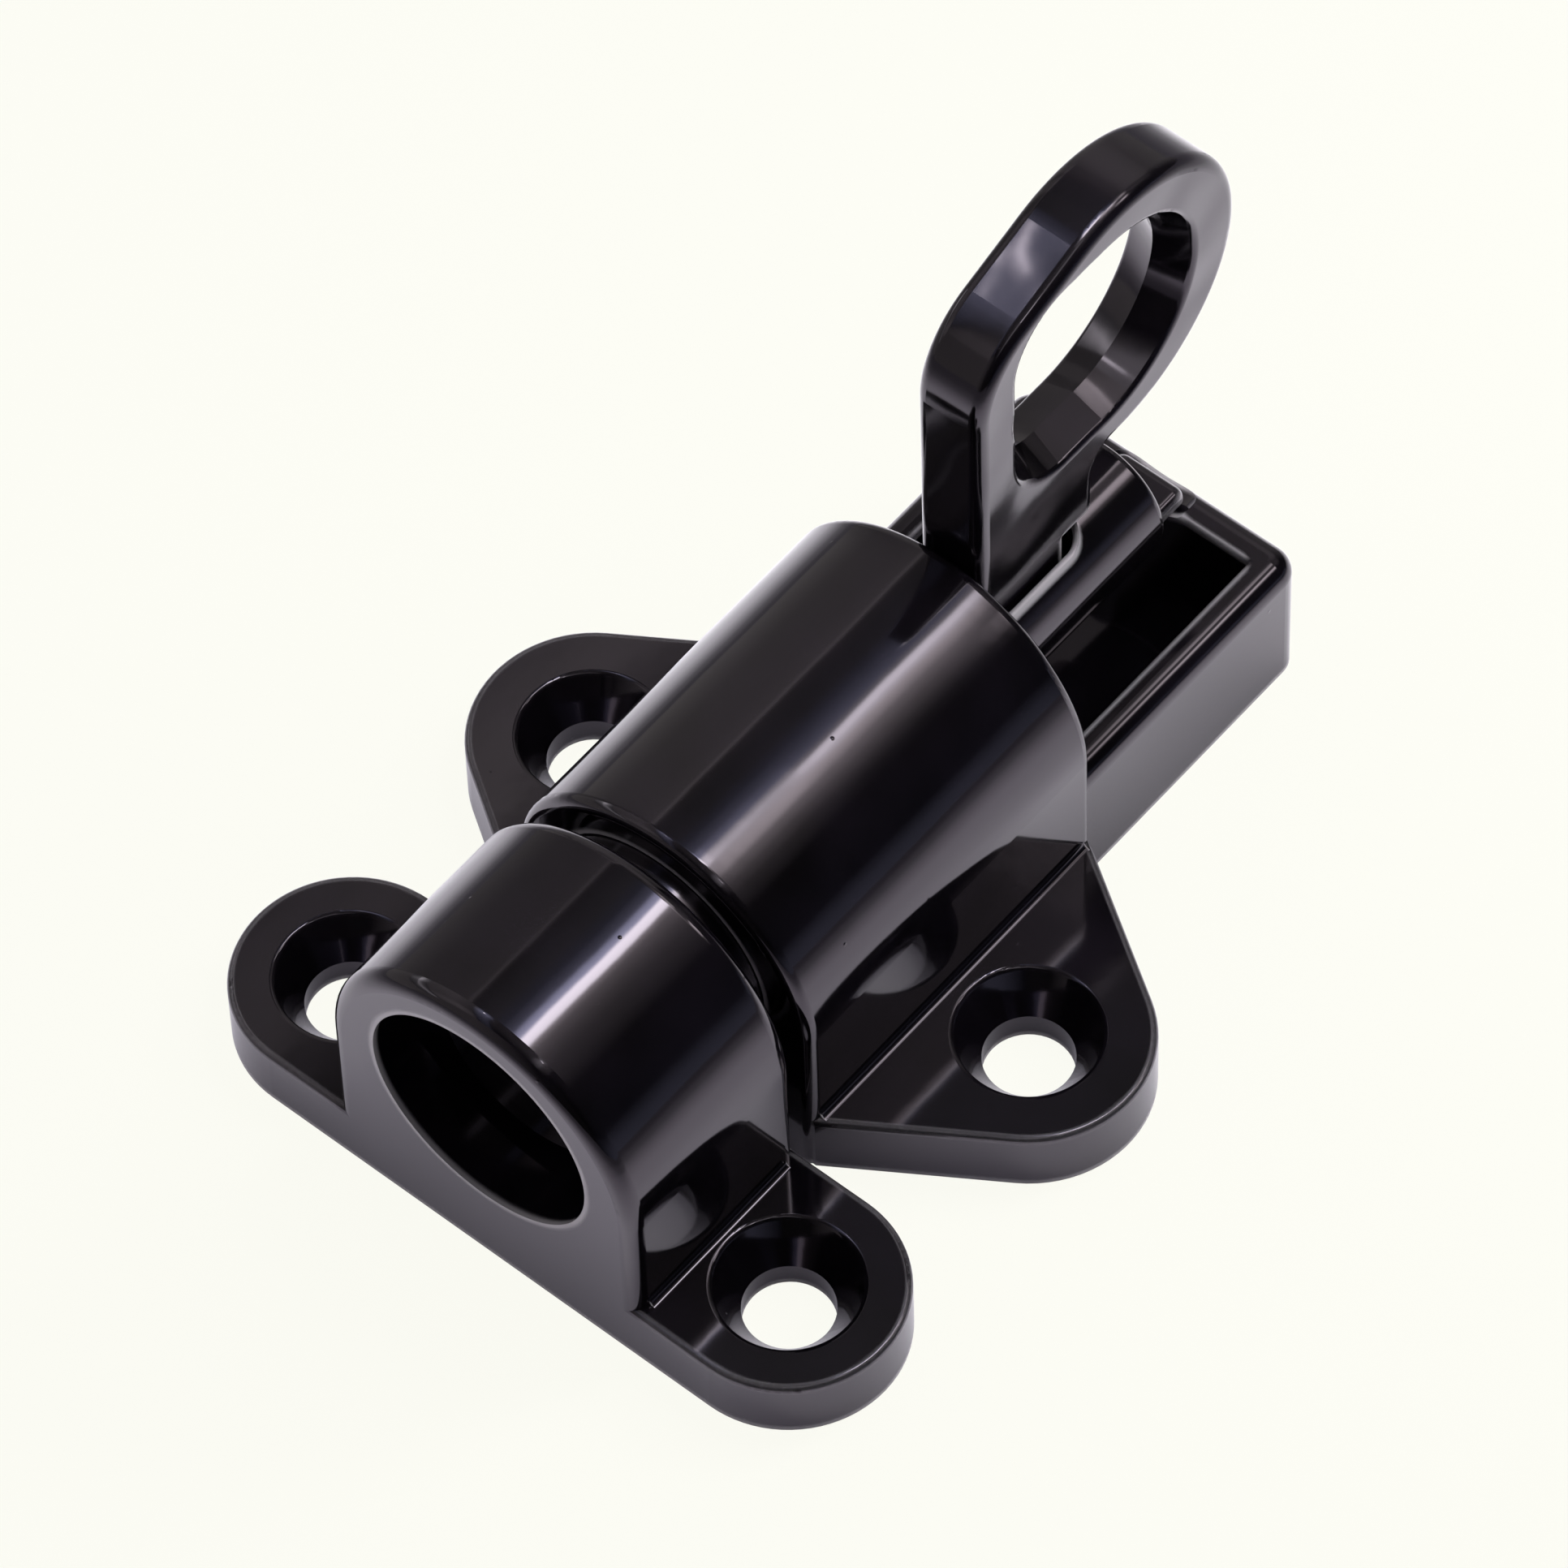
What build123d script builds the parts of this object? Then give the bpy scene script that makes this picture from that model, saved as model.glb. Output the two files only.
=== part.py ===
from build123d import *
import os
from math import acos, atan2, cos, hypot, radians, sin, tan

# Sliding window lock: a spring-loaded bolt in a cast housing, with a pull ring and a separate keeper.
# Lengths are in millimetres. X runs across the lock and Z stands up from the mounting face.
# Y runs along the bolt, and is counted here from the keeper's front face towards the rear.
# At the end every piece moves back by half the overall length, so that the origin is the
# centre of the footprint on the mounting face.

# Bolt axis and the arched backs
axis_height = 13.1
arch_centre_height = 12.0

# Running clearances
running_clearance = 0.1
keeper_clearance = 0.3
saddle_clearance = 0.25

# Screw holes in both castings
hole_half_spacing = 15.6
hole_radius = 2.6
countersink_radius = 4.2
countersink_depth = 2.5

# Keeper casting
keeper_length = 13.4
keeper_half_width = 10.7
keeper_edge_round = 1.0
keeper_lug_radius = 6.7
keeper_base_thickness = 4.1

# Housing casting: barrel and lugs
casting_gap = 1.7
barrel_length = 24.1
barrel_half_width = 10.3
barrel_edge_round = 0.7
barrel_rear_wall = 2.0
housing_lug_radius = 7.05
housing_base_thickness = 4.3
lug_edge_round = 0.35
lug_corner_inset = 0.2
lug_root_round = 0.4

# Housing casting: open trough behind the barrel
trough_length = 19.3
trough_inset = 0.5
trough_height = 9.6
trough_side_wall = 2.1
trough_rear_wall = 2.4
trough_floor = 2.0
trough_corner_round = 1.6
trough_top_round = 1.3
trough_inside_round = 0.25

# Bolt
bolt_travel = 11.4
nose_inset_when_open = 0.35
head_radius = 7.1
head_engagement = 2.2
head_chamfer = 1.2
rod_radius = 4.3
rod_end_round = 0.45
rod_tail_length = 14.0
slot_half_width = 2.5
slot_floor_height = 10.1
slot_corner_round = 1.6
slot_edge_round = 0.25
guide_half_width = 2.4
guide_length = 4.3
guide_top_height = 10.4
guide_round = 0.7
guide_inset = 0.1

# Pull ring: one flat plate standing on the bolt
ring_thickness = 4.5
ring_stop_gap = 0.4
ring_radius = 10.05
ring_centre_back = 12.0
ring_centre_height = 32.0
ring_corner_radius = 6.0
ring_corner_rise = 2.2
ring_edge_round = 0.8
neck_width = 9.9
neck_clearance = 0.3
neck_root_round = 1.6
finger_hole_radius = 7.7
finger_hole_back = 10.7
finger_hole_drop = 0.1
finger_hole_corner_radius = 4.2
front_bar_width = 3.1
hole_wall_draft = 22.0
hole_edge_round = 0.45
tongue_length = 6.9
tongue_clearance = 0.1
tongue_rise = 0.5
slot_front_clearance = 1.0
slot_rear_clearance = 1.7

# Pin through the ring's foot
pin_radius = 1.0
pin_clearance = 0.02
pin_inset = 0.1
pin_from_wall = 0.2
foot_beyond_pin = 0.7

# Compression spring round the rod
spring_wire = 0.9
spring_mean_radius = 5.75
spring_turns = 6.0
spring_seat_clearance = 0.05

# How near an edge lies to a plane to be picked, and how far cutters and joined blocks run on
same_place = 0.01
overrun = 1.0
largest_root_share = 0.8

# Places along the lock
housing_front = keeper_length + casting_gap
barrel_rear = housing_front + barrel_length
spring_seat = barrel_rear - barrel_rear_wall
trough_rear = barrel_rear + trough_length
trough_inner_rear = trough_rear - trough_rear_wall
trough_half_width = barrel_half_width - trough_inset
shoulder = housing_front + head_engagement
nose = housing_front + nose_inset_when_open - bolt_travel
ring_front = barrel_rear + ring_stop_gap
rod_end = barrel_rear + rod_tail_length
pin_y = spring_seat + pin_from_wall
foot_front = pin_y - pin_radius - foot_beyond_pin
tongue_rear = ring_front + tongue_length
ring_centre = ring_front + ring_centre_back
ring_corner_height = ring_centre_height + ring_corner_rise
finger_hole_centre = ring_front + finger_hole_back
finger_hole_height = ring_centre_height - finger_hole_drop
ring_bottom = ring_centre_height - ring_radius
neck_bottom = axis_height + rod_radius + neck_clearance
overall_length = ring_centre + ring_radius
keeper_bore_radius = head_radius + keeper_clearance
barrel_bore_radius = head_radius + running_clearance
rod_hole_radius = rod_radius + running_clearance
saddle_radius = rod_radius + saddle_clearance
housing_lug_centre = housing_front + barrel_length / 2
keeper_lug_centre = keeper_length / 2


def block(x0, x1, y0, y1, z0, z1):
    """A box between two corners."""
    return Pos((x0 + x1) / 2, (y0 + y1) / 2, (z0 + z1) / 2) * Box(x1 - x0, y1 - y0, z1 - z0)


def rod_along_y(radius, y0, y1, height=axis_height):
    """A round bar along the lock, on the bolt axis."""
    return Pos(0, (y0 + y1) / 2, height) * Rot(90, 0, 0) * Cylinder(radius, y1 - y0)


def arched_body(half_width, y0, y1):
    """Upright side walls under a half-round back."""
    walls = block(-half_width, half_width, y0, y1, 0, arch_centre_height)
    return walls + rod_along_y(half_width, y0, y1, arch_centre_height)


def end_edges(body, y):
    """The edges of an arched body's end face at y, apart from the bottom one."""
    at_end = body.edges().filter_by_position(Axis.Y, y - same_place, y + same_place)
    return at_end.filter_by(lambda e: e.center().Z > same_place)


def tangent_point(corner_x, corner_y, centre_x, centre_y, radius, side):
    """Where a line from a corner touches a circle, on the given side."""
    reach = hypot(corner_x - centre_x, corner_y - centre_y)
    towards = atan2(corner_y - centre_y, corner_x - centre_x)
    turn = towards + side * acos(radius / reach)
    return centre_x + radius * cos(turn), centre_y + radius * sin(turn)


def screw_hole(x, y, top):
    """The tool that cuts one countersunk screw hole."""
    through = Pos(x, y, top / 2) * Cylinder(hole_radius, top + 2 * overrun)
    cone = Cone(hole_radius, countersink_radius, countersink_depth)
    return through + Pos(x, y, top - countersink_depth / 2) * cone


def lug_rims(body, top):
    """The top outlines of both lugs, with the rims of their countersinks."""
    at_top = body.edges().filter_by_position(Axis.Z, top - same_place, top + same_place)
    return at_top.filter_by(lambda e: abs(e.center().X) > keeper_half_width)


def lug_roots(half_width, y0, y1, top):
    """The hollow rounds where the lugs' tops meet a body's side walls, between y0 and y1."""
    reach = half_width + lug_root_round
    height = top + lug_root_round
    roots = block(-reach, reach, y0, y1, top - lug_root_round, height)
    for side in (-1, 1):
        roots -= Pos(side * reach, 0, 0) * rod_along_y(lug_root_round, y0 - overrun, y1 + overrun, height)
    return roots


def make_keeper():
    """The separate casting that the bolt shoots into."""
    body = arched_body(keeper_half_width, 0, keeper_length)
    body = fillet(end_edges(body, 0) + end_edges(body, keeper_length), keeper_edge_round)
    base = block(-hole_half_spacing, hole_half_spacing, 0, keeper_length, 0, keeper_base_thickness)
    for side in (-1, 1):
        lug = Pos(side * hole_half_spacing, keeper_lug_centre, keeper_base_thickness / 2)
        base += lug * Cylinder(keeper_lug_radius, keeper_base_thickness)
    for side in (-1, 1):
        base -= screw_hole(side * hole_half_spacing, keeper_lug_centre, keeper_base_thickness)
    base = fillet(lug_rims(base, keeper_base_thickness), lug_edge_round)
    body += base
    ends = (keeper_edge_round, keeper_length - keeper_edge_round)
    body += lug_roots(keeper_half_width, *ends, keeper_base_thickness)
    return body - rod_along_y(keeper_bore_radius, -overrun, keeper_length + overrun)


def housing_lug(side):
    """One screw lug: a round end and two flanks that run to the barrel's corners."""
    front_y = housing_front + lug_corner_inset
    rear_y = barrel_rear - lug_corner_inset
    centre = (hole_half_spacing, housing_lug_centre)
    front = tangent_point(barrel_half_width, front_y, *centre, housing_lug_radius, 1)
    rear = tangent_point(barrel_half_width, rear_y, *centre, housing_lug_radius, -1)
    corners = [(0, front_y), (barrel_half_width, front_y), front, centre, rear]
    corners += [(barrel_half_width, rear_y), (0, rear_y)]
    outline = make_face(Polyline(*corners, close=True))
    outline += Pos(*centre) * Circle(housing_lug_radius)
    lug = extrude(outline, housing_base_thickness)
    if side < 0:
        lug = mirror(lug, Plane.YZ)
    return lug


def make_trough():
    """The open tray behind the barrel, where the bolt's tail and the ring travel."""
    front = barrel_rear - overrun
    tray = block(-trough_half_width, trough_half_width, front, trough_rear, 0, trough_height)
    uprights = tray.edges().filter_by(Axis.Z).group_by(Axis.Y)[-1]
    tray = fillet(uprights, trough_corner_round)
    rim = tray.edges().group_by(Axis.Z)[-1].filter_by(lambda e: e.center().Y > front + same_place)
    tray = fillet(rim, trough_top_round)
    inner = trough_half_width - trough_side_wall
    tray -= block(-inner, inner, front - overrun, trough_inner_rear, trough_floor, trough_height + overrun)
    lip = tray.edges().group_by(Axis.Z)[-1]
    lip = lip.filter_by(lambda e: abs(e.center().X) < inner + same_place)
    lip = lip.filter_by(lambda e: e.center().Y < trough_inner_rear + same_place)
    tray = fillet(lip, trough_inside_round)
    return tray - rod_along_y(saddle_radius, trough_inner_rear - overrun, trough_rear + overrun)


def make_housing():
    """The main casting: barrel, lugs and trough in one piece."""
    barrel = arched_body(barrel_half_width, housing_front, barrel_rear)
    barrel = fillet(end_edges(barrel, housing_front) + end_edges(barrel, barrel_rear), barrel_edge_round)
    lugs = housing_lug(1) + housing_lug(-1)
    for side in (-1, 1):
        lugs -= screw_hole(side * hole_half_spacing, housing_lug_centre, housing_base_thickness)
    lugs = fillet(lug_rims(lugs, housing_base_thickness), lug_edge_round)
    ends = (housing_front + barrel_edge_round, barrel_rear - barrel_edge_round)
    roots = lug_roots(barrel_half_width, *ends, housing_base_thickness)
    body = barrel + lugs + roots + make_trough()
    body -= rod_along_y(barrel_bore_radius, housing_front - overrun, spring_seat)
    body -= rod_along_y(rod_hole_radius, spring_seat - overrun, barrel_rear + overrun)
    return body


def cross_pin(radius):
    """A round bar across the rod where the ring's pin sits, longer than the rod is wide."""
    return Pos(0, pin_y, axis_height) * Rot(0, 90, 0) * Cylinder(radius, 4 * rod_radius)


def make_bolt():
    """The turned bolt: a round head, a thinner rod with a slot for the ring, and a guide tail."""
    head = rod_along_y(head_radius, nose, shoulder)
    head = chamfer(head.edges().filter_by(GeomType.CIRCLE).sort_by(Axis.Y)[0], head_chamfer)
    rod = rod_along_y(rod_radius, shoulder, rod_end)
    rod = fillet(rod.edges().filter_by(GeomType.CIRCLE).sort_by(Axis.Y)[-1], rod_end_round)
    top = axis_height + rod_radius + overrun
    slot_front = foot_front - slot_front_clearance
    slot_rear = tongue_rear + slot_rear_clearance
    slot = block(-slot_half_width, slot_half_width, slot_front, slot_rear, slot_floor_height, top)
    rod -= fillet(slot.edges().filter_by(Axis.Z), slot_corner_round)
    rims = rod.edges().filter_by(lambda e: slot_front - same_place < e.center().Y < slot_rear + same_place)
    rims = rims.filter_by(lambda e: e.center().Z > slot_floor_height + same_place)
    rims = rims.filter_by(lambda e: abs(e.center().X) < slot_half_width + same_place)
    rod = fillet(rims.filter_by(Axis.Z, reverse=True), slot_edge_round)
    guide_front = rod_end - overrun
    guide_rear = rod_end + guide_length
    guide = block(-guide_half_width, guide_half_width, guide_front, guide_rear, 0, guide_top_height)
    rear_edges = end_edges(guide, guide_rear)
    upper_edges = guide.edges().filter_by(Axis.Y).group_by(Axis.Z)[-1]
    guide = fillet(upper_edges + rear_edges, guide_round)
    guide &= rod_along_y(rod_radius - guide_inset, guide_front, guide_rear)
    return head + rod + guide - cross_pin(pin_radius + pin_clearance)


def ring_outline():
    """The ring's outer outline, drawn on the plane of Y and Z."""
    eye = Pos(ring_centre, ring_centre_height) * Circle(ring_radius)
    corner = Pos(ring_front + ring_corner_radius, ring_corner_height) * Circle(ring_corner_radius)
    foot = Pos(ring_front + overrun, ring_bottom + overrun) * Rectangle(2 * overrun, 2 * overrun)
    hull = make_hull((eye + corner + foot).edges())
    neck_top = ring_bottom + 3 * overrun
    neck = Pos(ring_front + neck_width / 2, (neck_bottom + neck_top) / 2)
    outline = hull + neck * Rectangle(neck_width, neck_top - neck_bottom)
    neck_rear = ring_front + neck_width
    on_rear = outline.vertices().filter_by(lambda v: abs(v.X - neck_rear) < same_place)
    root = on_rear.sort_by(Axis.Y)[-1]
    return fillet(root, min(neck_root_round, largest_root_share * (root.Y - neck_bottom)))


def finger_hole_outline():
    """The finger hole: round at the rear, with a straight front and two rounded corners."""
    front = ring_front + front_bar_width
    width = 2 * (finger_hole_centre - front)
    centre = Pos(finger_hole_centre, finger_hole_height)
    square = centre * RectangleRounded(width, 2 * finger_hole_radius, finger_hole_corner_radius)
    rear_half = Pos(finger_hole_centre + width / 2, finger_hole_height) * Rectangle(width, 3 * finger_hole_radius)
    return square - rear_half + centre * Circle(finger_hole_radius)


def make_pull_ring():
    """The pull ring: a flat eye with a neck and a tongue that is pinned in the rod's slot."""
    half = ring_thickness / 2
    plate = extrude(Plane.YZ * ring_outline(), half, both=True)
    rims = plate.edges().filter_by(lambda e: abs(abs(e.center().X) - half) < same_place)
    plate = fillet(rims.filter_by(lambda e: e.center().Z > neck_bottom + same_place), ring_edge_round)
    waist = offset(finger_hole_outline(), -half * tan(radians(hole_wall_draft)))
    for side in (-1, 1):
        plate -= extrude(Plane.YZ * waist, side * half, taper=-hole_wall_draft)
    rims = plate.edges().filter_by(lambda e: abs(abs(e.center().X) - half) < same_place)
    hole_centre = Vector(0, finger_hole_centre, finger_hole_height)
    reach = hypot(half, finger_hole_radius) + same_place
    plate = fillet(rims.filter_by(lambda e: (e.center() - hole_centre).length < reach), hole_edge_round)
    floor = slot_floor_height + tongue_clearance
    tongue = block(-half, half, ring_front, tongue_rear, floor, neck_bottom + tongue_rise)
    foot_rear = ring_front + overrun
    foot = block(-half, half, foot_front, foot_rear, floor, neck_bottom)
    foot &= rod_along_y(rod_radius - pin_inset, foot_front, foot_rear)
    return plate + tongue + foot - cross_pin(pin_radius + pin_clearance)


def make_ring_pin():
    """The cross pin, dressed flush with the rod."""
    trim = rod_along_y(rod_radius - pin_inset, pin_y - 2 * pin_radius, pin_y + 2 * pin_radius)
    return cross_pin(pin_radius) & trim


def make_spring():
    """The compression spring between the bolt's shoulder and the barrel's rear wall."""
    front = shoulder + spring_wire / 2 + spring_seat_clearance
    rear = spring_seat - spring_wire / 2 - spring_seat_clearance
    length = rear - front
    path = Helix(length / spring_turns, length, spring_mean_radius)
    wire = Plane(path @ 0, z_dir=path % 0) * Circle(spring_wire / 2)
    coil = sweep(wire, path)
    return Pos(0, front, axis_height) * Rot(-90, 0, 0) * coil


os.makedirs("parts", exist_ok=True)
pieces = {
    "housing": make_housing(),
    "keeper": make_keeper(),
    "bolt": make_bolt(),
    "spring": make_spring(),
    "pull_ring": make_pull_ring(),
    "ring_pin": make_ring_pin(),
}
for name, piece in pieces.items():
    export_step(Pos(0, -overall_length / 2, 0) * piece, f"parts/{name}.step")
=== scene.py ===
import bpy
from math import cos, pi, radians, sin
from mathutils import Matrix, Vector


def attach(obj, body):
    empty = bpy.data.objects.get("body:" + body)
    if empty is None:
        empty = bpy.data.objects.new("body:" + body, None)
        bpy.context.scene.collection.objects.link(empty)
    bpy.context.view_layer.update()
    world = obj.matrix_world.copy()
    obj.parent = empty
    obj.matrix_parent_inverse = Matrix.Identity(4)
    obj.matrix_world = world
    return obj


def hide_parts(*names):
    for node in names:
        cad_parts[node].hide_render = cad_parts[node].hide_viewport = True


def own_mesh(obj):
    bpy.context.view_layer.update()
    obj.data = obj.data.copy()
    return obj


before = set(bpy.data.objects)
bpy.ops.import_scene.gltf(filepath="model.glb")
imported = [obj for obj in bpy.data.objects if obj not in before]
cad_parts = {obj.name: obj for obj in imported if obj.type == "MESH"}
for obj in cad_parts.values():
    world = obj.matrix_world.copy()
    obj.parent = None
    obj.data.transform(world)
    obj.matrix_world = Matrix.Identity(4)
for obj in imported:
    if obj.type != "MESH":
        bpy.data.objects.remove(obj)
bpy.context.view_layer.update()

MM = 0.001

# Camera, at the photograph's viewing angle
IMAGE_PIXELS = 1932
FOCAL_PIXELS = 13277
SENSOR_MM = 36.0
CAMERA_AZIMUTH = radians(41.614)
CAMERA_ELEVATION = radians(55.755)
CAMERA_ROLL = radians(-2.226)
CAMERA_DISTANCE = 0.600
CAMERA_AIM = Vector((-7.098, 2.656, 0.0)) * MM
CLIP_NEAR = 0.01
CLIP_FAR = 20.0

# Floor and surround, as the camera sees them
PALE_WHITE = "#FEFEF6"
FLOOR_PAINT = "#FDFDF8"
FLOOR_SIZE = 6.0
FLOOR_DROP = 0.05 * MM
FLOOR_GLOW_SHARE = 0.95

# The floor in reflections: its glow, its shares of that glow at distances from the middle in mm, and the
# shadow at the object's foot
MIRRORED_COLOUR = "#F4EEFF"
MIRRORED_GLOW = 0.9
MIRRORED_FLOOR = [(0, 1.0), (50, 1.0), (75, 0.68), (110, 0.38), (200, 0.26)]
FOOT_SHADOW_REACH = 8 * MM
FOOT_SHADOW_DEPTH = 1.1
FOOT_SHADOW_SAMPLES = 3

# Soft lamp from the right and behind
LAMP_PLACE = Vector((70, 125, 140)) * MM
LAMP_SIZE = 60 * MM
LAMP_POWER = 0.14

# Light tent of soft panels, bent round the bolt's direction. Its step is in degrees, and its bands and ends are
# places along the bolt, in mm
TENT_RADIUS = 170 * MM
SMALL_LAMP_RADIUS = 168 * MM
ARCH_CENTRE_HEIGHT = 12.0 * MM
TENT_STEP = 3
TENT_FRONT = -170
KEEPER_BAND = 20
BARREL_BAND = 57.4
BARREL_MIDDLE_BAND = 68
ROD_BAND = 88
REAR_BAND = 118
TENT_REAR = 260
DIMMER_SHARE = 0.62
WHITE = "#FFFFFF"
WARM = "#FFFAF6"
COOL = "#DCE4FF"

# Light that comes past the tent, from the left and from the right. It changes between two sideways directions,
# where -1 is straight from the left and 1 straight from the right
LEFT_LIGHT = 0.35
RIGHT_LIGHT = 0.03
LEFT_LIGHT_UNTIL = -0.4
RIGHT_LIGHT_FROM = 0.2

# Black enamel
ENAMEL_IOR = 1.55
ENAMEL_GLOSS_TINT = "#FCF0FF"
TONE_CLOUD = 6 * MM
TONE_FROM = 0.35
TONE_TO = 0.65
# Painted highlight: tight edges get a grey mixed into the enamel's colour, standing in for the light they catch
EDGE_HIGHLIGHT_REACH = 0.8 * MM
PAINTED_EDGE_HIGHLIGHT_GREY = "#B4B0B6"
EDGE_HIGHLIGHT_SAMPLES = 16
NIB_SPACING = 3.5 * MM
NIB_RADIUS = 0.14 * MM
NIB_HEIGHT = 0.02 * MM

# Drawn steel
STEEL_GLOSS = (0.22, 0.42)
DRAWING_MARK_HEIGHT = 0.004 * MM

# Spring between the bolt's shoulder and the barrel's rear wall
SPRING_WIRE = 0.9 * MM
SPRING_RADIUS = 5.75 * MM
SPRING_FRONT = -13.025 * MM
SPRING_REAR = 5.875 * MM
SPRING_HEIGHT = 13.1 * MM
SPRING_TURNS = 7.0
SPRING_CLOSED_TURNS = 1.0
SPRING_POINTS = 337
WIRE_SIDES = 14


def linear(hex_colour, scale=1.0):
    """An sRGB hex colour as linear values for a socket."""
    values = []
    for start in (1, 3, 5):
        c = int(hex_colour[start:start + 2], 16) / 255
        c = c / 12.92 if c <= 0.04045 else ((c + 0.055) / 1.055) ** 2.4
        values.append(c * scale)
    return (*values, 1.0)


def add(tree, kind, inputs=None, stops=None, **settings):
    """Adds one node with its settings, its inputs (values, or sockets to link) and a ramp's stops."""
    node = tree.nodes.new(kind)
    for name, value in settings.items():
        setattr(node, name, value)
    for key, value in (inputs or {}).items():
        if isinstance(value, bpy.types.NodeSocket):
            tree.links.new(value, node.inputs[key])
        else:
            node.inputs[key].default_value = value
    if stops:
        elements = node.color_ramp.elements
        elements.remove(elements[1])
        elements[0].position, elements[0].color = stops[0]
        for position, colour in stops[1:]:
            elements.new(position).color = colour
    return node


def new_material(name):
    """An empty node material and the tree to fill."""
    material = bpy.data.materials.new(name)
    material.use_nodes = True
    material.node_tree.nodes.clear()
    return material, material.node_tree


def finish_material(tree, surface):
    """Links the last shader to the material's output."""
    add(tree, "ShaderNodeOutputMaterial", {"Surface": surface})


def gloss_enamel(name, deep, lifted, gloss, wave_mm, wave_height_mm, peel_mm, peel_height_mm, edge_highlight_from, edge_highlight_to):
    """Gloss black enamel, dipped and baked: near black with a violet cast, and shiny.

    The metal under it is a little wavy, the coat has a fine orange peel, and a few dust nibs sit in it. Tight edges
    get a painted highlight: fine grey lines mixed into the colour, standing in for the light those edges catch. The
    last two arguments are the shares of solid metal round a point at which the painted highlight starts and is
    strongest.
    """
    material, tree = new_material(name)
    place = add(tree, "ShaderNodeTexCoord").outputs["Object"]
    clouds = add(tree, "ShaderNodeTexNoise", {"Vector": place, "Scale": 1 / TONE_CLOUD, "Detail": 3.0})
    tone = add(tree, "ShaderNodeValToRGB", {"Fac": clouds.outputs["Fac"]},
               stops=[(TONE_FROM, linear(deep)), (TONE_TO, linear(lifted))])
    # Painted highlight along tight edges: where little solid metal lies round a point, a grey is mixed into the
    # colour for the light caught there
    solid = add(tree, "ShaderNodeAmbientOcclusion", {"Distance": EDGE_HIGHLIGHT_REACH},
                inside=True, samples=EDGE_HIGHLIGHT_SAMPLES)
    edge_highlight = add(tree, "ShaderNodeMapRange", {
        "Value": solid.outputs["AO"], "From Min": edge_highlight_from, "From Max": edge_highlight_to, "To Min": 0.0, "To Max": 1.0,
    })
    colour = add(tree, "ShaderNodeMix", {
        "Factor": edge_highlight.outputs["Result"], "A": tone.outputs["Color"], "B": linear(PAINTED_EDGE_HIGHLIGHT_GREY),
    }, data_type="RGBA")
    shine = add(tree, "ShaderNodeMapRange", {
        "Value": clouds.outputs["Fac"], "To Min": gloss[0], "To Max": gloss[1],
    })
    waves = add(tree, "ShaderNodeTexNoise", {"Vector": place, "Scale": 1 / (wave_mm * MM), "Detail": 0.0})
    wavy = add(tree, "ShaderNodeBump", {"Height": waves.outputs["Fac"], "Distance": wave_height_mm * MM})
    peel = add(tree, "ShaderNodeTexNoise", {"Vector": place, "Scale": 1 / (peel_mm * MM), "Detail": 1.0})
    peeled = add(tree, "ShaderNodeBump", {
        "Height": peel.outputs["Fac"], "Distance": peel_height_mm * MM, "Normal": wavy.outputs["Normal"],
    })
    nibs = add(tree, "ShaderNodeTexVoronoi", {"Vector": place, "Scale": 1 / NIB_SPACING})
    nib = add(tree, "ShaderNodeMapRange", {
        "Value": nibs.outputs["Distance"], "From Min": 0.0, "From Max": NIB_RADIUS / NIB_SPACING,
        "To Min": 1.0, "To Max": 0.0,
    }, interpolation_type="SMOOTHSTEP")
    bump = add(tree, "ShaderNodeBump", {
        "Height": nib.outputs["Result"], "Distance": NIB_HEIGHT, "Normal": peeled.outputs["Normal"],
    })
    shader = add(tree, "ShaderNodeBsdfPrincipled", {
        "Base Color": colour.outputs["Result"],
        "Roughness": shine.outputs["Result"],
        "IOR": ENAMEL_IOR,
        "Specular Tint": linear(ENAMEL_GLOSS_TINT),
        "Normal": bump.outputs["Normal"],
    })
    finish_material(tree, shader.outputs["BSDF"])
    return material


def drawn_steel(name, colour, mark_mm):
    """Drawn steel: bright metal, a little dull from the fine marks of drawing.

    Real marks are a few hundredths of a millimetre across, too fine to show, so they are drawn coarser.
    """
    material, tree = new_material(name)
    place = add(tree, "ShaderNodeTexCoord").outputs["Object"]
    marks = add(tree, "ShaderNodeTexNoise", {"Vector": place, "Scale": 1 / (mark_mm * MM), "Detail": 4.0})
    shine = add(tree, "ShaderNodeMapRange", {
        "Value": marks.outputs["Fac"], "To Min": STEEL_GLOSS[0], "To Max": STEEL_GLOSS[1],
    })
    bump = add(tree, "ShaderNodeBump", {"Height": marks.outputs["Fac"], "Distance": DRAWING_MARK_HEIGHT})
    shader = add(tree, "ShaderNodeBsdfPrincipled", {
        "Base Color": linear(colour),
        "Metallic": 1.0,
        "Roughness": shine.outputs["Result"],
        "Normal": bump.outputs["Normal"],
    })
    finish_material(tree, shader.outputs["BSDF"])
    return material


def dress(node, material):
    """Gives a CAD node its finish."""
    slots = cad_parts[node].data.materials
    slots.clear()
    slots.append(material)


def new_object(name, points, faces, material):
    """A plain mesh object at the origin."""
    mesh = bpy.data.meshes.new(name)
    mesh.from_pydata(points, [], faces)
    mesh.materials.append(material)
    thing = bpy.data.objects.new(name, mesh)
    bpy.context.scene.collection.objects.link(thing)
    return thing


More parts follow.
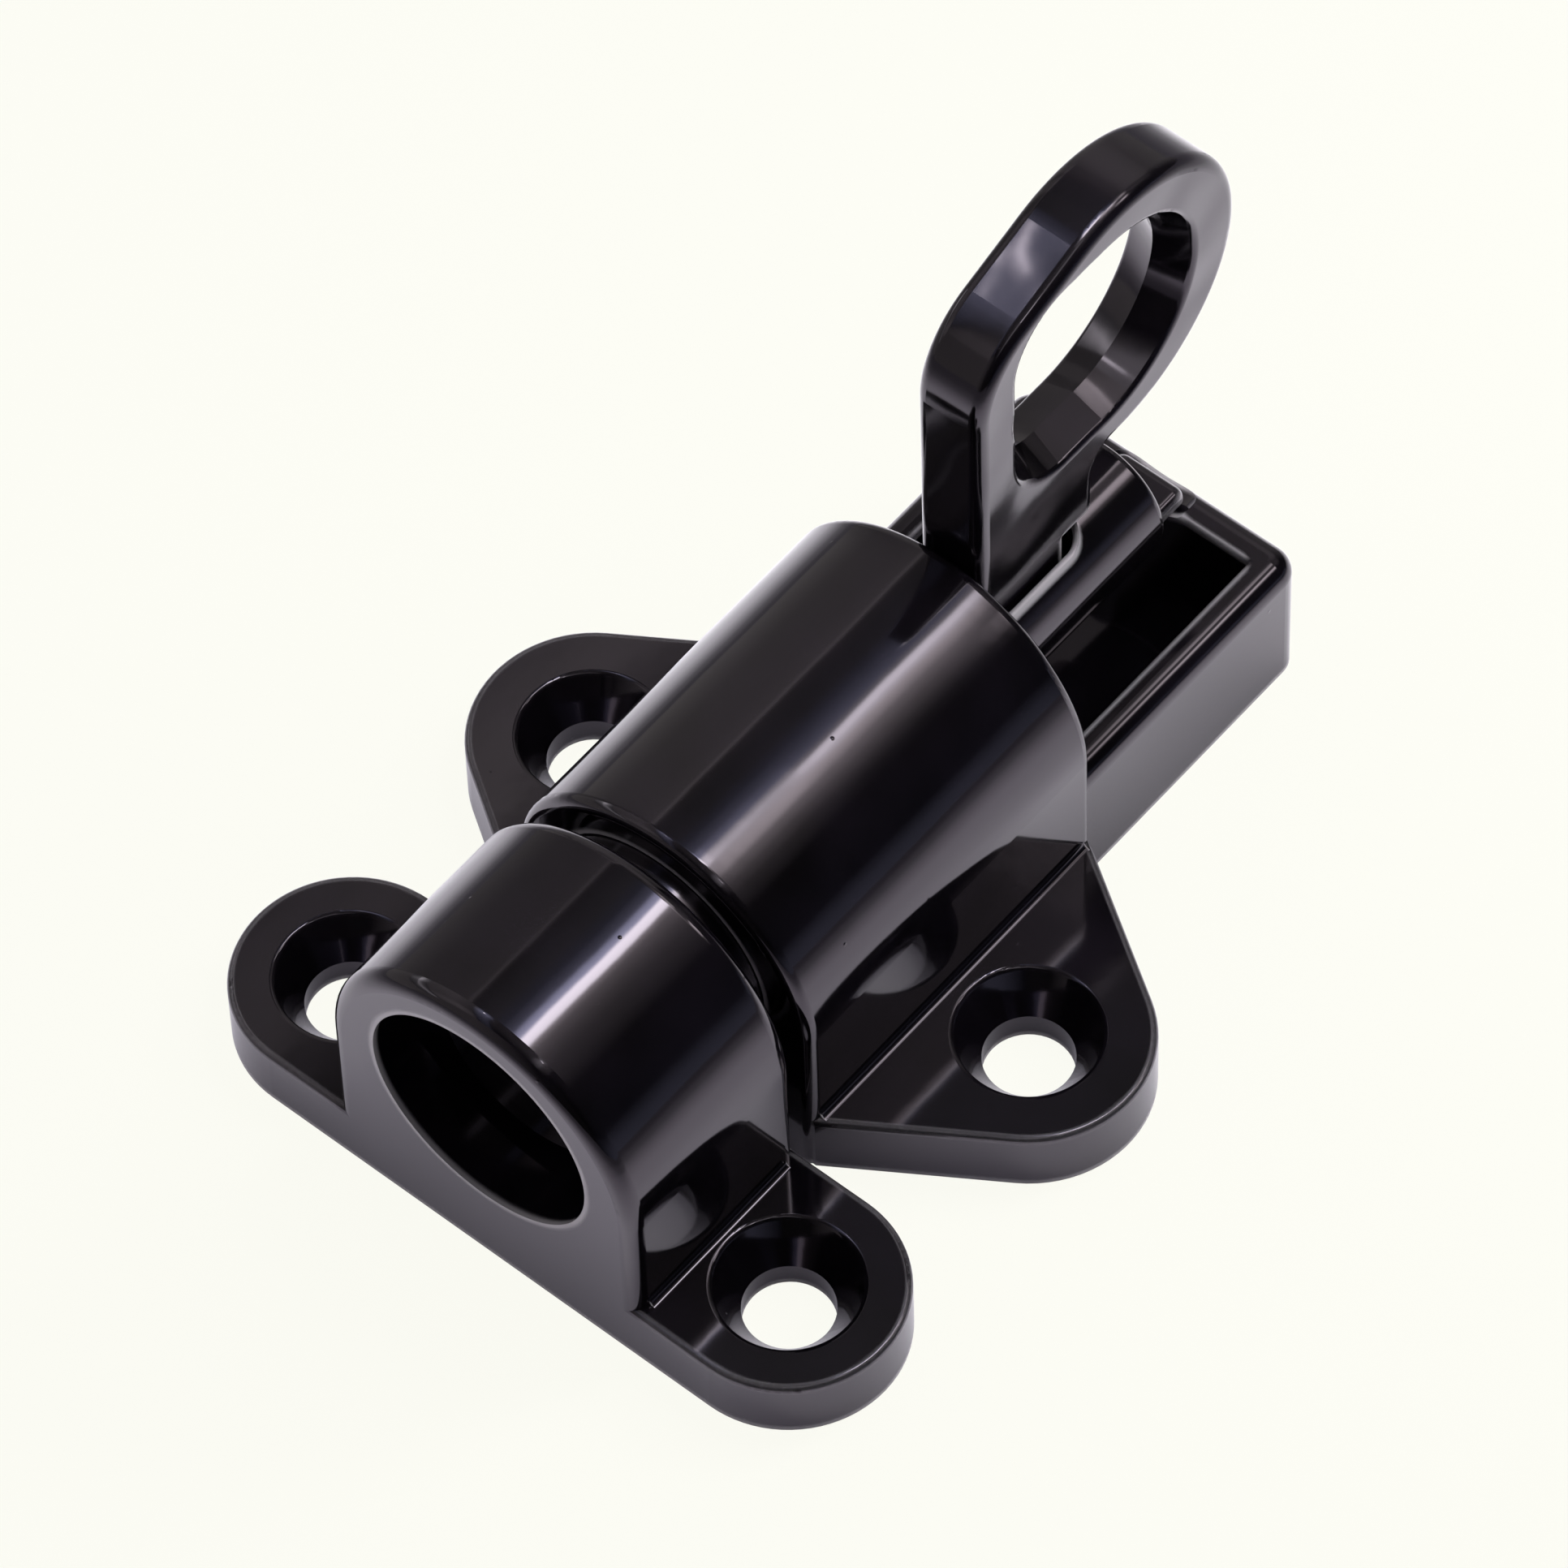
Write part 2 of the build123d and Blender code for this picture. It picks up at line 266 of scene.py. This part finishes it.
def make_floor():
    """A plain pale floor: near white to the camera with a faint soft shadow, and white in reflections.

    In reflections it falls off with distance, as the lit part of a studio floor does, and it is darker at the
    object's foot.
    """
    material, tree = new_material("pale_studio_floor")
    path = add(tree, "ShaderNodeLightPath")
    share = add(tree, "ShaderNodeMath", {
        0: path.outputs["Is Camera Ray"], 1: FLOOR_GLOW_SHARE,
    }, operation="MULTIPLY")
    matt = add(tree, "ShaderNodeBsdfDiffuse", {"Color": linear(FLOOR_PAINT)})
    white = add(tree, "ShaderNodeEmission", {"Color": linear(PALE_WHITE), "Strength": 1.0})
    seen = add(tree, "ShaderNodeMixShader", {0: share.outputs[0], 1: matt.outputs[0], 2: white.outputs[0]})
    mirrored = add(tree, "ShaderNodeMath", {
        0: path.outputs["Is Glossy Ray"], 1: path.outputs["Is Transmission Ray"],
    }, operation="MAXIMUM")
    level = add(tree, "ShaderNodeMath", {0: mirrored.outputs[0], 1: MIRRORED_GLOW}, operation="MULTIPLY")
    glow = add(tree, "ShaderNodeEmission", {"Color": linear(MIRRORED_COLOUR), "Strength": level.outputs[0]})
    both = add(tree, "ShaderNodeAddShader", {0: seen.outputs[0], 1: glow.outputs[0]})
    place = add(tree, "ShaderNodeTexCoord").outputs["Object"]
    away = add(tree, "ShaderNodeVectorMath", {0: place}, operation="LENGTH")
    reach = MIRRORED_FLOOR[-1][0]
    far = add(tree, "ShaderNodeMath", {0: away.outputs["Value"], 1: 1 / (reach * MM)}, operation="MULTIPLY")
    kept = add(tree, "ShaderNodeValToRGB", {"Fac": far.outputs[0]},
               stops=[(distance / reach, (glowing, glowing, glowing, 1.0)) for distance, glowing in MIRRORED_FLOOR])
    foot = add(tree, "ShaderNodeAmbientOcclusion", {"Distance": FOOT_SHADOW_REACH}, samples=FOOT_SHADOW_SAMPLES)
    shadow = add(tree, "ShaderNodeMath", {0: foot.outputs["AO"], 1: FOOT_SHADOW_DEPTH}, operation="POWER")
    left = add(tree, "ShaderNodeMath", {0: kept.outputs["Color"], 1: shadow.outputs[0]}, operation="MULTIPLY")
    lost = add(tree, "ShaderNodeMath", {0: 1.0, 1: left.outputs[0]}, operation="SUBTRACT")
    dim = add(tree, "ShaderNodeMath", {0: mirrored.outputs[0], 1: lost.outputs[0]}, operation="MULTIPLY")
    surface = add(tree, "ShaderNodeMixShader", {0: dim.outputs[0], 1: both.outputs[0]})
    finish_material(tree, surface.outputs[0])
    half = FLOOR_SIZE / 2
    corners = [(x, y, -FLOOR_DROP) for x, y in ((-half, -half), (half, -half), (half, half), (-half, half))]
    new_object("floor", corners, [(0, 1, 2, 3)], material)


def make_lamp():
    """The soft side lamp: it lights the floor and the shadows, and isn't mirrored."""
    data = bpy.data.lights.new("side_lamp", "AREA")
    data.shape = "DISK"
    data.size = LAMP_SIZE
    data.energy = LAMP_POWER
    lamp = bpy.data.objects.new("side_lamp", data)
    lamp.location = LAMP_PLACE
    lamp.rotation_euler = LAMP_PLACE.to_track_quat("Z", "Y").to_euler()
    lamp.visible_glossy = False
    bpy.context.scene.collection.objects.link(lamp)


def make_world():
    """A pale surround: near white behind the object, with a low light that is stronger on the left."""
    world = bpy.data.worlds.new("pale_surround")
    bpy.context.scene.world = world
    world.use_nodes = True
    tree = world.node_tree
    tree.nodes.clear()
    path = add(tree, "ShaderNodeLightPath")
    towards = add(tree, "ShaderNodeTexCoord").outputs["Generated"]
    axes = add(tree, "ShaderNodeSeparateXYZ", {0: towards})
    level = add(tree, "ShaderNodeMapRange", {
        "Value": axes.outputs["X"], "From Min": LEFT_LIGHT_UNTIL, "From Max": RIGHT_LIGHT_FROM,
        "To Min": LEFT_LIGHT, "To Max": RIGHT_LIGHT,
    })
    even = add(tree, "ShaderNodeBackground", {"Color": linear(WARM), "Strength": level.outputs["Result"]})
    white = add(tree, "ShaderNodeBackground", {"Color": linear(PALE_WHITE), "Strength": 1.0})
    mix = add(tree, "ShaderNodeMixShader", {
        0: path.outputs["Is Camera Ray"], 1: even.outputs[0], 2: white.outputs[0],
    })
    add(tree, "ShaderNodeOutputWorld", {"Surface": mix.outputs[0]})


def make_panel(name, across, along, radius=TENT_RADIUS):
    """One soft panel of the light tent, seen only in the object's reflections.

    Across gives light levels and colours at degrees round the bolt, up from the right side. Along gives shares
    of that light at places along the bolt, in mm.
    """
    low, high = across[0][0], across[-1][0]
    front, rear = along[0][0], along[-1][0]
    power = max(level for _, level, _ in across)
    most = max(share for _, share in along)
    material, tree = new_material(name)
    place = add(tree, "ShaderNodeTexCoord").outputs["Object"]
    axes = add(tree, "ShaderNodeSeparateXYZ", {0: place})
    lift = add(tree, "ShaderNodeMath", {0: axes.outputs["Z"], 1: ARCH_CENTRE_HEIGHT}, operation="SUBTRACT")
    turn = add(tree, "ShaderNodeMath", {0: lift.outputs[0], 1: axes.outputs["X"]}, operation="ARCTAN2")
    round_bolt = add(tree, "ShaderNodeMapRange", {
        "Value": turn.outputs[0], "From Min": radians(low), "From Max": radians(high),
    })
    colours = add(tree, "ShaderNodeValToRGB", {"Fac": round_bolt.outputs[0]},
                  stops=[((degrees - low) / (high - low), linear(colour, level / power))
                         for degrees, level, colour in across])
    down_bolt = add(tree, "ShaderNodeMapRange", {
        "Value": axes.outputs["Y"], "From Min": front * MM, "From Max": rear * MM,
    })
    shares = add(tree, "ShaderNodeValToRGB", {"Fac": down_bolt.outputs[0]},
                 stops=[((y - front) / (rear - front), (share / most, share / most, share / most, 1.0))
                        for y, share in along])
    strength = add(tree, "ShaderNodeMath", {0: shares.outputs["Color"], 1: power * most}, operation="MULTIPLY")
    glow = add(tree, "ShaderNodeEmission", {"Color": colours.outputs["Color"], "Strength": strength.outputs[0]})
    finish_material(tree, glow.outputs[0])
    # Gloss finds the panels by itself, so the renderer needn't aim at them
    material.cycles.emission_sampling = "NONE"
    points = []
    faces = []
    steps = max(1, round((high - low) / TENT_STEP))
    for step in range(steps + 1):
        angle = radians(low + (high - low) * step / steps)
        x = radius * cos(angle)
        z = ARCH_CENTRE_HEIGHT + radius * sin(angle)
        points += [(x, front * MM, z), (x, rear * MM, z)]
    for step in range(steps):
        first = 2 * step
        faces.append((first, first + 1, first + 3, first + 2))
    panel = new_object(name, points, faces, material)
    panel.visible_camera = False
    panel.visible_shadow = False


def make_tent():
    """The light tent, in bands along the bolt: a bright strip overhead, dark on the right and dim on the left.

    Each part of the lock mirrors its own band: the keeper, the barrel's front, the barrel, and the rod behind it.
    The panels in front of those bands are what the ring mirrors.
    """
    dark_right = [(0, 0.45, COOL), (6, 0.36, COOL), (11, 0.18, COOL), (15, 0.04, COOL), (46, 0.03, WARM)]
    dim_left = [(119, 0.2, WARM), (121, 0.4, WARM), (121.6, 0.85, WARM), (122.8, 0.85, WARM), (124, 0.55, WARM),
                (134, 0.45, WARM), (158, 0.37, WARM), (172, 0.45, WARM), (180, 0.5, WARM)]
    dimmer_left = [(degrees, level * DIMMER_SHARE, colour) for degrees, level, colour in dim_left]
    make_panel("keeper_panel", dark_right + [
        (57, 0.28, WARM), (63, 0.4, WARM), (69, 0.7, WARM), (75, 1.3, WARM), (78.5, 3.0, WARM), (80, 16, WHITE),
        (84.5, 19, WHITE), (86, 7, COOL), (89, 5, COOL), (91, 1.3, COOL), (93, 0.95, COOL), (98, 0.36, COOL),
        (105, 0.22, WHITE), (112, 0.17, WHITE)] + dimmer_left,
        [(KEEPER_BAND, 1.0), (BARREL_BAND, 1.0)])
    make_panel("barrel_front_panel", dark_right + [
        (57, 0.35, WARM), (63, 0.95, WARM), (69, 2.3, WARM), (72, 5.0, WARM), (75, 6.0, WARM), (82, 6.3, WHITE),
        (84, 4.0, WHITE), (87, 1.9, COOL), (92, 0.9, COOL), (98, 0.36, COOL), (104, 0.18, WHITE), (112, 0.15, WHITE)]
        + dim_left,
        [(BARREL_BAND, 0.95), (BARREL_MIDDLE_BAND, 1.0)])
    make_panel("barrel_panel", dark_right + [
        (52, 0.12, WARM), (57, 0.4, WARM), (63, 1.05, WARM), (69, 2.2, WARM), (75, 5.5, WARM), (78, 8, WHITE),
        (79.5, 10.5, WHITE), (82, 10.5, WHITE), (84, 1.9, WHITE), (87, 1.3, COOL), (92, 0.8, COOL), (98, 0.4, COOL),
        (104, 0.18, WHITE), (112, 0.15, WHITE)] + dim_left,
        [(BARREL_MIDDLE_BAND, 1.0), (ROD_BAND, 0.95)])
    make_panel("rod_panel", dark_right + [
        (52, 1.0, WARM), (55, 4.5, WARM), (59, 6.5, WARM), (63, 6.0, WARM), (65, 0.6, WARM), (76, 0.6, WARM),
        (78, 4.0, WARM), (88, 3.2, WARM), (91, 1.0, WARM), (98, 0.4, WARM), (104, 0.28, WARM), (112, 0.32, WARM)]
        + dim_left,
        [(ROD_BAND, 0.5), (95, 0.6), (103, 1.0), (REAR_BAND, 1.0)])
    make_panel("rear_panel", dark_right + [(60, 0.1, WARM), (70, 0.35, WARM), (90, 0.3, WARM), (104, 0.6, WARM),
                                           (118, 0.58, WARM), (180, 0.4, WARM)],
               [(REAR_BAND, 0.7), (145, 1.0), (180, 1.0), (TENT_REAR, 0.7)])
    make_panel("front_right_panel", dark_right + [
        (60, 0.05, WARM), (65, 0.5, WARM), (67, 1.4, WHITE), (70, 1.4, WHITE), (75, 0.3, WARM), (98, 0.15, WARM),
        (103, 0.25, WARM)],
        [(TENT_FRONT, 0.1), (-120, 0.4), (-40, 1.0), (KEEPER_BAND, 1.0)])
    make_panel("ring_corner_panel", [(103, 0.2, COOL), (106.5, 1.05, COOL), (112, 1.0, COOL), (116, 0.3, WHITE)],
               [(TENT_FRONT, 0.25), (-90, 0.5), (-65, 0.75), (-41, 1.0), (-23, 1.4), (-8, 2.2), (0, 1.9), (12, 0.6),
                (KEEPER_BAND, 0.32)])
    make_panel("front_left_panel", [(116, 0.35, WARM), (128, 0.6, WARM), (148, 0.45, WARM)],
               [(TENT_FRONT, 1.0), (-120, 1.3), (-80, 0.9), (KEEPER_BAND, 1.0)])
    make_panel("left_window_panel", [(148, 0.4, WHITE), (151, 1.2, WHITE), (153.5, 4.0, WHITE), (156, 1.2, WHITE),
                                     (161, 0.4, WHITE)],
               [(TENT_FRONT, 0.4), (-70, 0.4), (-34, 0.5), (-22, 0.8), (-8, 1.0), (4, 1.0), (KEEPER_BAND, 0.5)])
    make_panel("low_left_panel", [(161, 0.4, WARM), (180, 0.45, WARM)], [(TENT_FRONT, 1.0), (KEEPER_BAND, 1.0)])
    # Two small bright lamps hang just inside the tent
    make_panel("small_top_lamp", [(108.6, 26, WHITE), (109.8, 26, WHITE)],
               [(-5.5, 1.0), (-1.5, 1.0)], SMALL_LAMP_RADIUS)
    make_panel("small_right_lamp", [(66.5, 9, WHITE), (70.0, 9, WHITE)],
               [(-12, 1.0), (-3, 1.0)], SMALL_LAMP_RADIUS)


def make_camera():
    """The camera, turned and rolled as in the photograph."""
    away = Vector((
        sin(CAMERA_AZIMUTH) * cos(CAMERA_ELEVATION),
        -cos(CAMERA_AZIMUTH) * cos(CAMERA_ELEVATION),
        sin(CAMERA_ELEVATION),
    ))
    level = Vector((cos(CAMERA_AZIMUTH), sin(CAMERA_AZIMUTH), 0.0))
    above = away.cross(level)
    right = cos(CAMERA_ROLL) * level + sin(CAMERA_ROLL) * above
    up = cos(CAMERA_ROLL) * above - sin(CAMERA_ROLL) * level
    data = bpy.data.cameras.new("camera")
    data.sensor_width = SENSOR_MM
    data.lens = FOCAL_PIXELS * SENSOR_MM / IMAGE_PIXELS
    data.clip_start = CLIP_NEAR
    data.clip_end = CLIP_FAR
    camera = bpy.data.objects.new("camera", data)
    bpy.context.scene.collection.objects.link(camera)
    turn = Matrix((right, up, away)).transposed().to_4x4()
    camera.matrix_world = Matrix.Translation(CAMERA_AIM + CAMERA_DISTANCE * away) @ turn
    bpy.context.scene.camera = camera


def make_spring(material):
    """The compression spring with closed ends, drawn by a node tree along a stretched spiral."""
    tree = bpy.data.node_groups.new("coil_spring", "GeometryNodeTree")
    sizes = {"Wire Radius": SPRING_WIRE / 2, "Coil Radius": SPRING_RADIUS, "Front": SPRING_FRONT,
             "Rear": SPRING_REAR, "Height": SPRING_HEIGHT, "Turns": SPRING_TURNS, "Closed Turns": SPRING_CLOSED_TURNS}
    tree.interface.new_socket("Geometry", in_out="INPUT", socket_type="NodeSocketGeometry")
    for name in sizes:
        tree.interface.new_socket(name, in_out="INPUT", socket_type="NodeSocketFloat")
    tree.interface.new_socket("Geometry", in_out="OUTPUT", socket_type="NodeSocketGeometry")
    given = add(tree, "NodeGroupInput").outputs
    wire_width = add(tree, "ShaderNodeMath", {0: given["Wire Radius"], 1: 2.0}, operation="MULTIPLY").outputs[0]
    line = add(tree, "GeometryNodeCurvePrimitiveLine", {"End": (0.0, 1.0, 0.0)})
    dense = add(tree, "GeometryNodeResampleCurve", {"Curve": line.outputs[0], "Count": SPRING_POINTS})
    along = add(tree, "GeometryNodeSplineParameter").outputs["Factor"]
    turn = add(tree, "ShaderNodeMath", {0: along, 1: given["Turns"]}, operation="MULTIPLY").outputs[0]
    angle = add(tree, "ShaderNodeMath", {0: turn, 1: 2 * pi}, operation="MULTIPLY").outputs[0]
    closed_front = add(tree, "ShaderNodeMath", {0: turn, 1: given["Closed Turns"]}, operation="MINIMUM").outputs[0]
    last = add(tree, "ShaderNodeMath", {0: given["Turns"], 1: given["Closed Turns"]}, operation="SUBTRACT").outputs[0]
    past = add(tree, "ShaderNodeMath", {0: turn, 1: last}, operation="SUBTRACT").outputs[0]
    closed_rear = add(tree, "ShaderNodeMath", {0: past, 1: 0.0}, operation="MAXIMUM").outputs[0]
    closed = add(tree, "ShaderNodeMath", {0: closed_front, 1: closed_rear}, operation="ADD").outputs[0]
    closed_rise = add(tree, "ShaderNodeMath", {0: closed, 1: wire_width}, operation="MULTIPLY").outputs[0]
    live = add(tree, "ShaderNodeMath", {0: turn, 1: closed}, operation="SUBTRACT").outputs[0]
    both_closed = add(tree, "ShaderNodeMath", {0: given["Closed Turns"], 1: 2.0}, operation="MULTIPLY").outputs[0]
    live_turns = add(tree, "ShaderNodeMath", {0: given["Turns"], 1: both_closed}, operation="SUBTRACT").outputs[0]
    length = add(tree, "ShaderNodeMath", {0: given["Rear"], 1: given["Front"]}, operation="SUBTRACT").outputs[0]
    closed_length = add(tree, "ShaderNodeMath", {0: both_closed, 1: wire_width}, operation="MULTIPLY").outputs[0]
    live_length = add(tree, "ShaderNodeMath", {0: length, 1: closed_length}, operation="SUBTRACT").outputs[0]
    pitch = add(tree, "ShaderNodeMath", {0: live_length, 1: live_turns}, operation="DIVIDE").outputs[0]
    live_rise = add(tree, "ShaderNodeMath", {0: live, 1: pitch}, operation="MULTIPLY").outputs[0]
    rise = add(tree, "ShaderNodeMath", {0: closed_rise, 1: live_rise}, operation="ADD").outputs[0]
    y = add(tree, "ShaderNodeMath", {0: rise, 1: given["Front"]}, operation="ADD").outputs[0]
    cosine = add(tree, "ShaderNodeMath", {0: angle}, operation="COSINE").outputs[0]
    sine = add(tree, "ShaderNodeMath", {0: angle}, operation="SINE").outputs[0]
    x = add(tree, "ShaderNodeMath", {0: cosine, 1: given["Coil Radius"]}, operation="MULTIPLY").outputs[0]
    up = add(tree, "ShaderNodeMath", {0: sine, 1: given["Coil Radius"]}, operation="MULTIPLY").outputs[0]
    z = add(tree, "ShaderNodeMath", {0: up, 1: given["Height"]}, operation="ADD").outputs[0]
    point = add(tree, "ShaderNodeCombineXYZ", {0: x, 1: y, 2: z})
    coil = add(tree, "GeometryNodeSetPosition", {"Geometry": dense.outputs[0], "Position": point.outputs[0]})
    section = add(tree, "GeometryNodeCurvePrimitiveCircle", {
        "Resolution": WIRE_SIDES, "Radius": given["Wire Radius"],
    })
    wire = add(tree, "GeometryNodeCurveToMesh", {
        "Curve": coil.outputs[0], "Profile Curve": section.outputs["Curve"], "Fill Caps": True,
    })
    smooth = add(tree, "GeometryNodeSetShadeSmooth", {"Geometry": wire.outputs[0]})
    real = add(tree, "GeometryNodeRealizeInstances", {"Geometry": smooth.outputs[0]})
    dressed = add(tree, "GeometryNodeSetMaterial", {"Geometry": real.outputs[0], "Material": material})
    add(tree, "NodeGroupOutput", {"Geometry": dressed.outputs[0]})

    maker = new_object("coil_maker", [(0.0, 0.0, 0.0)], [], material)
    modifier = maker.modifiers.new("coil_spring", "NODES")
    modifier.node_group = tree
    for item in tree.interface.items_tree:
        if item.name in sizes:
            modifier[item.identifier] = sizes[item.name]
    graph = bpy.context.evaluated_depsgraph_get()
    mesh = bpy.data.meshes.new_from_object(maker.evaluated_get(graph))
    bpy.data.objects.remove(maker)
    coil_spring = bpy.data.objects.new("coil_spring", mesh)
    bpy.context.scene.collection.objects.link(coil_spring)
    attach(coil_spring, "castings")
    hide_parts("spring")
    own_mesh(coil_spring)


make_world()
make_floor()
make_lamp()
make_tent()

# Zinc die castings, dipped and baked: the castings' own waviness shows as slow bends in the highlights
casting_enamel = gloss_enamel(
    "baked_gloss_enamel_on_casting", deep="#060507", lifted="#100D13", gloss=(0.05, 0.1),
    wave_mm=7.0, wave_height_mm=0.045, peel_mm=1.4, peel_height_mm=0.0025, edge_highlight_from=0.79, edge_highlight_to=0.66)
# The small ring was tumbled before it was dipped, so its faces are wavier and a touch duller
ring_enamel = gloss_enamel(
    "baked_gloss_enamel_on_tumbled_casting", deep="#060507", lifted="#100D13", gloss=(0.08, 0.14),
    wave_mm=4.5, wave_height_mm=0.22, peel_mm=1.4, peel_height_mm=0.003, edge_highlight_from=0.7, edge_highlight_to=0.56)
# Turned steel with the same enamel: truer faces, and as dull as the ring
bolt_enamel = gloss_enamel(
    "baked_gloss_enamel_on_turned_steel", deep="#080709", lifted="#110E13", gloss=(0.08, 0.14),
    wave_mm=9.0, wave_height_mm=0.01, peel_mm=1.2, peel_height_mm=0.002, edge_highlight_from=0.74, edge_highlight_to=0.6)
pin_steel = drawn_steel("drawn_steel_pin", "#B9BBBD", mark_mm=0.2)
spring_steel = drawn_steel("drawn_spring_wire", "#8E9196", mark_mm=0.15)
for node in ("housing", "keeper"):
    dress(node, casting_enamel)
dress("pull_ring", ring_enamel)
dress("bolt", bolt_enamel)
dress("ring_pin", pin_steel)
dress("spring", spring_steel)
make_spring(spring_steel)

make_camera()
scene = bpy.context.scene
scene.view_settings.view_transform = "Standard"
